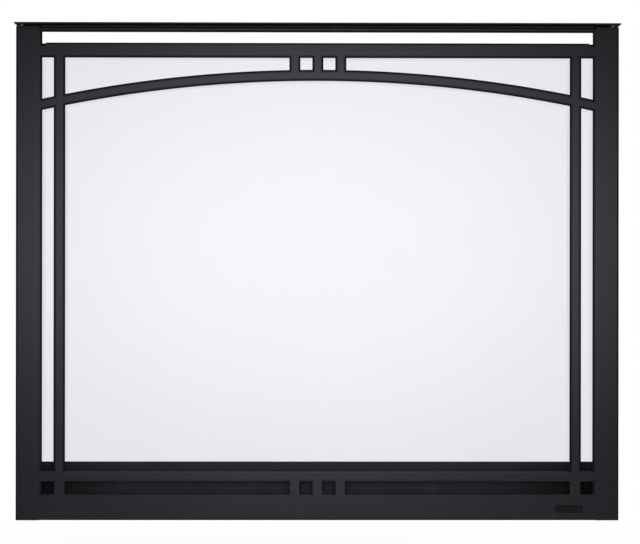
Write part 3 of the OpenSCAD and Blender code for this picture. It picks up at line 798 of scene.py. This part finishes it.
def fill_folded_members():
    """The stiles and the three folded rails, each an L that stops a lap short of the
    openings, and the flat ends of the upper rail beside its notches."""
    stile = folded(stile_high[0], joint, stile_high[1], (stile_low[2], stile_high[2]), 2)
    members["stile_right"].append(stile)
    members["stile_left"].append(mirrored(stile))
    reach = (-joint, joint)
    top = folded(top_high[2], top_low[2] + lap, top_high[1], reach, 0)
    members["top_rail"].append(top)
    upper_reach = (-notch_x, notch_x)
    upper = folded(upper_high[2], upper_low[2] + lap, upper_high[1], upper_reach, 0)
    end = flat(box_outline(notch_x, joint, upper_low[2] + lap, notch_z - lap))
    members["upper_rail"] += [upper, end, mirrored(end)]
    bottom = folded(bottom_low[2], bottom_high[2] - lap, bottom_high[1], reach, 0)
    members["bottom_rail"].append(bottom)


def fill_arch():
    """The arch's flat middle: a four-cornered section carried along the arch, between two
    circles that are a lap inside its edges."""
    steps = 68
    inside = arc(-joint, joint, arch_under_r, steps)
    outside = arc(-joint, joint, arch_top_r, steps)
    ring = np.stack([inside, inside, outside, outside], 1)
    level = [face_front, face_back, face_back, face_front]
    level = np.broadcast_to(level, ring.shape[:2])
    members["arch_bar"].append(carried(np.stack([ring[..., 0], level, ring[..., 1]], -1)))


def fill_bars_and_posts():
    """The flat middles of the bars, the posts and the lower rail. Where one meets the arch,
    its end slopes from one side's height on the circle to the other's."""
    rail = box_outline(-joint, joint, lower_low[2] + lap, lower_high[2] - lap)
    members["lower_rail"].append(flat(rail))
    foot, head = lower_high[2] - lap, upper_low[2] + lap
    x0, x1 = bar_in + lap, bar_out - lap
    below, above = arch_z([x0, x1], arch_under_r), arch_z([x0, x1], arch_top_r)
    bar = [
        flat([(x0, foot), (x1, foot), (x1, below[1]), (x0, below[0])]),
        flat([(x0, above[0]), (x1, above[1]), (x1, head), (x0, head)]),
    ]
    members["vertical_bar_right"] += bar
    members["vertical_bar_left"] += [mirrored(shell) for shell in bar]
    for left, right in post_ends.reshape(-1, 2):
        x0, x1 = left + lap, right - lap
        z0, z1 = arch_z([x0, x1], arch_top_r)
        members["centre_posts"].append(flat([(x0, z0), (x1, z1), (x1, head), (x0, head)]))
    pairs = [*post_ends.reshape(-1, 2), (bar_in, bar_out), (-bar_out, -bar_in)]
    for left, right in pairs:
        post = box_outline(left + lap, right - lap, bottom_high[2] - lap, lower_low[2] + lap)
        members["lower_posts"].append(flat(post))


ease_air_slot()
ease_over_arch()
ease_under_arch()
ease_low_slots()
fill_folded_members()
fill_arch()
fill_bars_and_posts()
for name, shells in members.items():
    mesh = mesh_of(name, shells)
    show(f"face_{name}", mesh, powder_coat, "door", name)


# ----------------------------------------------------------------------------------------
# Small plate near the lower right corner: a blank enamelled plate with rounded edges,
# stuck to the bottom rail.
# ----------------------------------------------------------------------------------------
def make_enamel():
    """Glossy black enamel, with fine dust specks, and paler where an edge is rounded."""
    material, place = begin("black enamel")
    cloud = place.noise(70.0, 3.0)
    specks = place.noise(3200.0, 1.0).between(0.7, 0.76)
    edge = place.node("ShaderNodeAttribute", {}, {"attribute_name": "edge"}, "Fac")
    base = cloud.blend(colour(9, 9, 11), colour(15, 15, 17))
    base = (edge * 0.6).blend(base, colour(96, 97, 102))
    rough = 0.12 + cloud * 0.08 + specks * 0.3
    finish(place, base, rough, specks, strength=0.1, depth=0.00005, Specular_IOR_Level=0.35)
    return material


enamel = make_enamel()


def make_plate():
    """A slab with rounded corners, whose back is sunk a little way into the rail."""
    low, high = corners("nameplate")
    corner_r, ease, sunk = 2.0, 0.5, 0.4
    outline = box_outline(low[0], high[0], low[2], high[2], corner_r)
    mesh = mesh_of("plate", [slab(outline, low[1], high[1] + sunk, ease, axis=1)])
    show("blank_plate", mesh, enamel, "door", "nameplate")


make_plate()


# ----------------------------------------------------------------------------------------
# Glass frame: four members of 2 mm sheet behind the face, in heat-proof paint. The side
# angles are spot-welded inside the stiles' returns; the deep bottom member shows through
# the lower slots, with a flange forward to the bottom rail.
# ----------------------------------------------------------------------------------------
for side in ("left", "right", "top", "bottom"):
    name, node = f"glass_frame_member_{side}", f"glass_frame_{side}"
    eased(name, node, sheet_edge, inner_coat, "door")


# ----------------------------------------------------------------------------------------
# Pane: one sheet of 5 mm heat-proof glass ceramic with ground edges, which lies on the
# back of the glass frame. It is clear, with a faint lavender cast.
# ----------------------------------------------------------------------------------------
def make_glass():
    """Clear glass ceramic with a lavender cast and a barely uneven polish."""
    material, place = begin("heat-proof glass")
    film = place.noise(3.0, 3.0)
    base = film.blend(colour(232, 231, 236), colour(230, 228, 234))
    finish(place, base, film * 0.01, Transmission_Weight=1.0, IOR=1.45)
    return material


glass = make_glass()


def make_pane():
    """A slab with rounded corners and ground edges, from the front to the back of the node."""
    low, high = corners("glass_pane")
    corner_r, ground = 3.0, 0.8
    outline = box_outline(low[0], high[0], low[2], high[2], corner_r)
    mesh = mesh_of("pane", [slab(outline, low[1], high[1], ground, axis=1)])
    show("glass_sheet", mesh, glass, "door", "glass_pane")


make_pane()


# ----------------------------------------------------------------------------------------
# Gasket: a flat tape of woven glass fibre, folded over the edge of the pane all the way
# round, so that the glass touches no steel.
# ----------------------------------------------------------------------------------------
def make_tape():
    """Woven glass-fibre tape, on its own UV in metres along and round it. Two sets of yarns
    cross: one is a sine of along plus across and the other of along minus across, so that
    their product is high where a yarn shows and low where it dips, as in a plain weave. The
    colour follows it as well, darker where a yarn dips: painted shade."""
    material, place = begin("woven glass fibre")
    on_tape = place.node("ShaderNodeTexCoord", {}, None, "UV")
    along, across = on_tape.part("X"), on_tape.part("Y")
    yarns = 2800.0
    warp = place.maths("SINE", (along + across) * yarns)
    weft = place.maths("SINE", (along - across) * yarns)
    height = warp * weft * 0.5 + 0.5
    fray = place.noise(1800.0, 4.0)
    soot_and_painted_shade = place.noise(30.0, 4.0).between(0.45, 0.7)
    # painted shade in the weave: the colour is darker where a yarn dips, and the fray adds a
    # random tone
    weave_shade_and_fray = height * 0.7 + fray * 0.3
    base = weave_shade_and_fray.blend(colour(120, 116, 106), colour(214, 209, 198))
    base = (soot_and_painted_shade * 0.35).blend(base, colour(92, 86, 78))
    rough = 0.8 + fray * 0.15
    weave = height * 0.8 + fray * 0.4
    finish(place, base, rough, weave, strength=0.7, depth=0.0004, Specular_IOR_Level=0.2)
    return material


tape = make_tape()


def lay_tape(mesh, line, section):
    """Gives a closed tape its UV: how far along the line, and how far round the section,
    each face's corners lie, in metres. On the faces that close a loop, point 0 counts as
    the end of the loop instead of its start."""
    step = np.linalg.norm(np.roll(line, -1, 0) - line, axis=1)
    along = np.concatenate([[0.0], step.cumsum()]) / 1000
    step = np.linalg.norm(np.roll(section, -1, 0) - section, axis=1)
    around = np.concatenate([[0.0], step.cumsum()]) / 1000
    vertex = np.empty(len(mesh.loops), int)
    mesh.loops.foreach_get("vertex_index", vertex)
    quads = vertex.reshape(-1, 4)
    place, part = quads // len(section), quads % len(section)
    place = np.where((place == 0) & (place.max(1, keepdims=True) > 1), len(line), place)
    part = np.where((part == 0) & (part.max(1, keepdims=True) > 1), len(section), part)
    uv = np.stack([along[place], around[part]], -1)
    mesh.uv_layers.new(name="tape").data.foreach_set("uv", uv.ravel())


def make_gasket():
    """The section is a U round the edge of the glass, with soft outer corners. It follows
    a rounded rectangle just inside the edge of the pane: each point of the section moves
    out from that line by its own distance, along the line's mitres."""
    low, high = corners("glass_gasket")
    glass_low, glass_high = corners("glass_pane")
    over, thick = 8.0, high[0] - glass_high[0]
    y0, y1, y2, y3 = low[1], glass_low[1], glass_high[1], high[1]
    points = [
        (-over, y0), (thick, y0), (thick, y3), (-over, y3),
        (-over, y2), (0, y2), (0, y1), (-over, y1),
    ]
    hem, fold, inside = 0.6, 1.4, 0.2
    section = round_corners(points, [hem, fold, fold, hem, *[inside] * 4], steps=3)
    inset, bends, corner_r = 12.0, 12, 0.5
    x0, x1 = glass_low[0] + inset, glass_high[0] - inset
    z0, z1 = glass_low[2] + inset, glass_high[2] - inset
    turns = box_outline(x0, x1, z0, z1, corner_r, bends)
    after = np.roll(turns, -1, 0)
    long_side, pieces = 20, 25
    straights = [
        np.linspace(start, end, pieces, endpoint=False)
        for start, end in zip(turns, after)
        if np.linalg.norm(end - start) > long_side
    ]
    turns = turns.reshape(4, bends + 1, 2)[:, :bends]
    line = np.concatenate([np.concatenate(pair) for pair in zip(turns, straights)])
    out = section[:, 0] + inset
    moved = line[:, None] + out[None, :, None] * mitres(line)[:, None]
    level = np.broadcast_to(section[:, 1], moved.shape[:2])
    rings = np.stack([moved[..., 0], level, moved[..., 1]], -1)
    mesh = mesh_of("gasket", [carried(rings, True)])
    lay_tape(mesh, line, section)
    show("glass_tape", mesh, tape, "door", "glass_gasket")


make_gasket()


# ----------------------------------------------------------------------------------------
# Retainers: four bent strips of 1.5 mm steel that press the gasket and the pane on to the
# glass frame, each held by a row of button-head screws. The bottom one carries the glass.
# ----------------------------------------------------------------------------------------
retainer_edge = 0.25
for side in ("left", "right", "top", "bottom"):
    name, node = f"glass_clip_{side}", f"glass_retainer_{side}"
    eased(name, node, retainer_edge, inner_coat, "door")


def make_retainer_screws():
    """A ring of screws: four down each side and six along the top and the bottom, evenly
    spaced, with their heads on the back of the retainers' feet."""
    low, high = corners("retainer_screws")
    head_r, head_h, shank_r, length, key = 3.5, 2.4, 2.0, 6.0, 2.5
    foot_back = high[1] - head_h
    side_x, row_x = high[0] - head_r, 443.9
    foot, top = low[2] + head_r, high[2] - head_r
    side_z = np.linspace(-226.65, 275.15, 4)
    places = [(x, z) for x in (-side_x, side_x) for z in side_z]
    places += [(x, z) for z in (foot, top) for x in np.linspace(-row_x, row_x, 6)]
    sizes = (head_r, head_h, shank_r, length, key)
    shells = [screw(x, foot_back, z, 1, *sizes) for x, z in places]
    mesh = mesh_of("retainer screws", shells)
    show("glass_clip_screws", mesh, zinc, "door", "retainer_screws")


make_retainer_screws()


# ----------------------------------------------------------------------------------------
# Door's pivots: a zinc-plated strap with a bronze bushing at the foot, and at the top a
# guide with two lugs for the sprung pin, its pull knob and its spring.
# ----------------------------------------------------------------------------------------
def make_spring_steel():
    """Drawn spring wire, grey and slightly oily."""
    material, place = begin("spring wire")
    cloud = place.noise(300.0, 4.0)
    base = cloud.blend(colour(112, 113, 118), colour(168, 169, 173))
    rough = 0.26 + cloud * 0.16
    finish(place, base, rough, cloud, strength=0.1, depth=0.00005, Metallic=1.0)
    return material


def make_knob_black():
    """Blackened steel, a little cloudy, with small patches rubbed brighter."""
    material, place = begin("blackened knob")
    cloud = place.noise(220.0, 4.0)
    rubbed = place.noise(500.0, 4.0).between(0.55, 0.72)
    base = (rubbed * 0.4).blend(colour(25, 25, 27), colour(92, 91, 92))
    rough = 0.34 + cloud * 0.2
    finish(place, base, rough, cloud, strength=0.15, depth=0.00008, Specular_IOR_Level=0.5)
    return material


spring_steel = make_spring_steel()
knob_black = make_knob_black()


def make_strap_screws():
    """Two screws, one over the other, with their heads on the back of the strap."""
    low, high = corners("strap_screws")
    head_r, head_h, shank_r, length, key = 4.5, 3.0, 2.5, 7.0, 3.0
    x, strap_back = (low[0] + high[0]) / 2, high[1] - head_h
    sizes = (head_r, head_h, shank_r, length, key)
    heights = (low[2] + head_r, high[2] - head_r)
    shells = [screw(x, strap_back, z, 1, *sizes) for z in heights]
    mesh = mesh_of("strap screws", shells)
    show("hinge_strap_screws", mesh, zinc, "door", "strap_screws")


def make_upper_pin():
    """A turned bar with a collar that the spring bears on, and a tapered head."""
    low, high = corners("upper_pivot_pin")
    foot, top = low[2], high[2]
    r, collar_r, collar_h, ease = 4.0, 6.5, 3.0, 0.4
    collar = corners("pivot_spring")[1][2]
    collar_top = collar + collar_h
    profile = [
        (r - 0.6, foot), (r, foot + 0.6), (r, collar), (collar_r - ease, collar),
        (collar_r, collar + ease), (collar_r, collar_top - ease),
        (collar_r - ease, collar_top), (r, collar_top), (r, top - 1.4),
        (r - 0.2, top - 0.9), (r - 1, top), (0.5, top),
    ]
    mesh = mesh_of("upper pin", [turned(pivot, profile)])
    show("hinge_pin_upper", mesh, turned_steel, "pin", "upper_pivot_pin")


def make_knob():
    """A turned knob, drawn in at its waist by a sine squared of the height, and ribbed: its
    radius is multiplied by 1 plus a small cosine of 24 times the angle. The hole in its top
    is as deep as the pin goes in."""
    low, high = corners("pin_knob")
    foot, top, r = low[2], high[2], (high[0] - low[0]) / 2
    rim, waist, ribs, rib_depth, hole_r, hole_h = 0.9, 1.1, 24, 0.018, 4.05, 6
    height = np.linspace(0, 1, 15)
    side_r = r - waist * np.sin(height * math.pi) ** 2
    side_z = foot + rim + height * (top - foot - 2 * rim)
    profile = [
        (r - 1.6, foot), (r - 0.6, foot + 0.3), *zip(side_r, side_z), (r - 0.6, top - 0.3),
        (r - 0.9, top), (hole_r + 0.05, top), (hole_r, top - hole_h),
    ]
    knob = turned(
        pivot, profile, steps=72, squeeze=lambda turn: 1 + rib_depth * np.cos(turn * ribs)
    )
    mesh = mesh_of("knob", [knob])
    show("hinge_pin_knob", mesh, knob_black, "pin", "pin_knob")


def make_spring():
    """A round wire carried along a helix. The pitch eases to the wire's own thickness over
    the first and last turn, as on a spring with closed ends. Each ring of the wire is a
    cosine along the way outwards plus a sine along the way up."""
    low, high = corners("pivot_spring")
    wire_r, coil_r, turns, closed_pitch = 0.6, 5.1, 9.5, 1.25
    rings, sides = 240, 10
    foot, rise = low[2] + wire_r, high[2] - low[2] - 2 * wire_r
    t = np.linspace(0, 1, rings)
    at_turn = [0, 1, turns - 1, turns]
    climb = np.interp(t * turns, at_turn, [0, closed_pitch, rise - closed_pitch, rise])
    angle = t * turns * 2 * math.pi
    outward = np.stack([np.cos(angle), np.sin(angle), 0 * angle], 1)
    upward = np.array([0.0, 0.0, 1.0])
    axis = np.stack([0 * t + pivot[0], 0 * t + pivot[1], foot + climb], 1)
    centre = axis + coil_r * outward
    side = np.arange(sides) / sides * 2 * math.pi
    ring = np.cos(side)[None, :, None] * outward[:, None] + np.sin(side)[None, :, None] * upward
    mesh = mesh_of("spring", [carried(centre[:, None] + wire_r * ring)])
    spring = show("hinge_pin_spring", mesh, spring_steel, "door", "pivot_spring")
    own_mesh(spring)


strap_edge = 0.4
eased("hinge_strap_lower", "lower_pivot_strap", strap_edge, zinc, "door")
eased("hinge_guide_upper", "upper_pivot_guide", strap_edge, zinc, "door")
make_strap_screws()
flange_top = corners("lower_bushing")[0][2] + 1.5
make_bushing("hinge_bushing_lower", "lower_bushing", "door", flange_top, 0.3, bore=5.05)
make_upper_pin()
make_knob()
make_spring()


# ----------------------------------------------------------------------------------------
# Strike plates: two bent zinc-plated brackets on the right side of the glass frame, which
# the magnets hold when the door is shut.
# ----------------------------------------------------------------------------------------
strike_edge = 0.4
eased("catch_strike_pair", "strike_plates", strike_edge, zinc, "door")


# ----------------------------------------------------------------------------------------
# Studio: a pale floor below the door, one broad soft panel in front that fades towards its
# edges, weak lights at the side and behind, and a background that the camera sees as white.
# ----------------------------------------------------------------------------------------
def make_floor():
    """White to the camera and through the glass, with enough matt surface near the door to
    take its shadow. The matt share fades out with the distance from the door. The floor is
    one round face: its rim is a cosine and a sine of the angle."""
    material = bpy.data.materials.new("pale floor")
    material.use_nodes = True
    material.node_tree.nodes.clear()
    start = Tint(material.node_tree)
    place = start.node("ShaderNodeTexCoord", {}, None, "Object")
    far = start.node("ShaderNodeVectorMath", {0: place}, {"operation": "LENGTH"}, "Value")
    seen = start.ray("Camera") + start.ray("Transmission")
    white = seen * (0.84 + far.between(0.9, 2.6) * 0.16)
    cloud = place.noise(2.0, 2.0)
    tone = cloud.blend((0.82, 0.82, 0.83, 1.0), (0.86, 0.86, 0.86, 1.0))
    matt = start.node("ShaderNodeBsdfDiffuse", {"Color": tone})
    glow = start.node("ShaderNodeEmission", {"Color": (1.0, 1.0, 1.0, 1.0), "Strength": 1.0})
    mixed = start.node("ShaderNodeMixShader", {0: white, 1: matt, 2: glow})
    start.node("ShaderNodeOutputMaterial", {"Surface": mixed})
    level, radius, sides = -0.7, 3.0, 96
    turn = np.arange(sides) / sides * 2 * math.pi
    rim = np.stack([radius * np.cos(turn), radius * np.sin(turn), np.full(sides, level)], 1)
    mesh = bpy.data.meshes.new("floor")
    mesh.from_pydata(rim.tolist(), [], [list(range(sides))])
    mesh.materials.append(material)
    floor = bpy.data.objects.new("floor", mesh)
    bpy.context.scene.collection.objects.link(floor)


def make_world():
    """White where the camera looks, through the glass, and in mirrors that face away from
    the room. The room in front of the door is dim, and a little brighter overhead."""
    world = bpy.data.worlds.new("studio")
    world.use_nodes = True
    bpy.context.scene.world = world
    world.node_tree.nodes.clear()
    start = Tint(world.node_tree)
    direction = start.node("ShaderNodeTexCoord", {}, None, "Generated")
    behind = direction.part("Y").between(0.6, 1.0)
    above = direction.part("Z").between(-0.2, 0.8)
    seen = start.ray("Camera") + start.ray("Transmission")
    white = start.maths("MAXIMUM", seen, start.ray("Glossy") * behind)
    room = 0.03 + above * 0.3
    light = {"Color": (1.0, 1.0, 1.0, 1.0), "Strength": white + (1 - white) * room}
    background = start.node("ShaderNodeBackground", light)
    start.node("ShaderNodeOutputWorld", {"Surface": background})


def lamp(name, place, target, size, power, in_mirrors=False):
    """A rectangular soft light at a place, turned to a target."""
    light = bpy.data.lights.new(name, "AREA")
    light.shape = "RECTANGLE"
    light.size, light.size_y = size
    light.energy = power
    source = bpy.data.objects.new(name, light)
    aim = Vector(target) - Vector(place)
    turn = aim.to_track_quat("-Z", "Y").to_matrix().to_4x4()
    source.matrix_world = Matrix.Translation(place) @ turn
    source.visible_camera = False
    source.visible_glossy = in_mirrors
    bpy.context.scene.collection.objects.link(source)
    return light


def make_panel():
    """The soft panel, seen in the gloss of the coat. Its light falls off from the middle as
    e to the power of minus d raised to 2.8, where d is the distance over the panel's own
    two coordinates, each divided by how far the light reaches that way."""
    wide, high, height = 3.4, 2.6, 0.07
    reach_x, reach_z, fall = 0.68, 0.458, 2.8
    place, target = (0.0, -1.2, height), (0.0, 0.0, height)
    light = lamp("soft panel", place, target, (wide, high), 71.5, in_mirrors=True)
    light.use_nodes = True
    light.node_tree.nodes.clear()
    start = Tint(light.node_tree)
    on_panel = start.node("ShaderNodeNewGeometry", {}, None, "Parametric")
    x = (on_panel.part("X") - 0.5) * (wide / reach_x)
    z = (on_panel.part("Y") - 0.5) * (high / reach_z)
    out = start.maths("POWER", x * x + z * z, fall / 2)
    bell = start.maths("EXPONENT", out * -1.0)
    white = bell.blend((0.0, 0.0, 0.0, 1.0), (1.0, 1.0, 1.0, 1.0))
    glow = start.node("ShaderNodeEmission", {"Color": white, "Strength": 1.0})
    start.node("ShaderNodeOutputLight", {"Surface": glow})


make_floor()
make_world()
make_panel()
lamp("side light", (-3.0, -1.2, 1.4), (0, 0, 0), (1.6, 1.6), 10)
lamp("back light", (1.4, 3.2, 1.8), (0, 0, 0), (1.8, 1.8), 60)


# ----------------------------------------------------------------------------------------
# Camera: nearly square on to the middle of the door from about three and a half metres,
# with a long lens. Its turn comes from fitting the door's corners to the photographed view.
# ----------------------------------------------------------------------------------------
def turned_to(first, second, angle):
    """Two directions at right angles, both turned by an angle in the plane they span: each
    is its own cosine and the other's sine."""
    turned_first = first * math.cos(angle) + second * math.sin(angle)
    turned_second = second * math.cos(angle) - first * math.sin(angle)
    return turned_first, turned_second


def make_camera():
    """The lens is the focal length in pixels, over the picture's width in pixels, times the
    sensor's width. The camera looks along +Y, and is then turned, tipped and rolled."""
    camera = bpy.data.cameras.new("camera")
    focal_px, picture_px = 2001.8, 640
    camera.sensor_width = 36.0
    camera.lens = focal_px / picture_px * camera.sensor_width
    camera.clip_end = 60.0
    seat = bpy.data.objects.new("camera", camera)
    yaw, pitch, roll = math.radians(-0.499), math.radians(0.016), math.radians(0.065)
    right, ahead, up = np.eye(3)
    right, ahead = turned_to(right, ahead, yaw)
    ahead, up = turned_to(ahead, up, pitch)
    right, up = turned_to(right, up, roll)
    turn = Matrix(np.stack([right, up, -ahead], 1).tolist()).to_4x4()
    seat.matrix_world = Matrix.Translation((-0.026, -3.5, 0.0008)) @ turn
    bpy.context.scene.collection.objects.link(seat)
    bpy.context.scene.camera = seat


make_camera()
bpy.context.scene.view_settings.view_transform = "Standard"
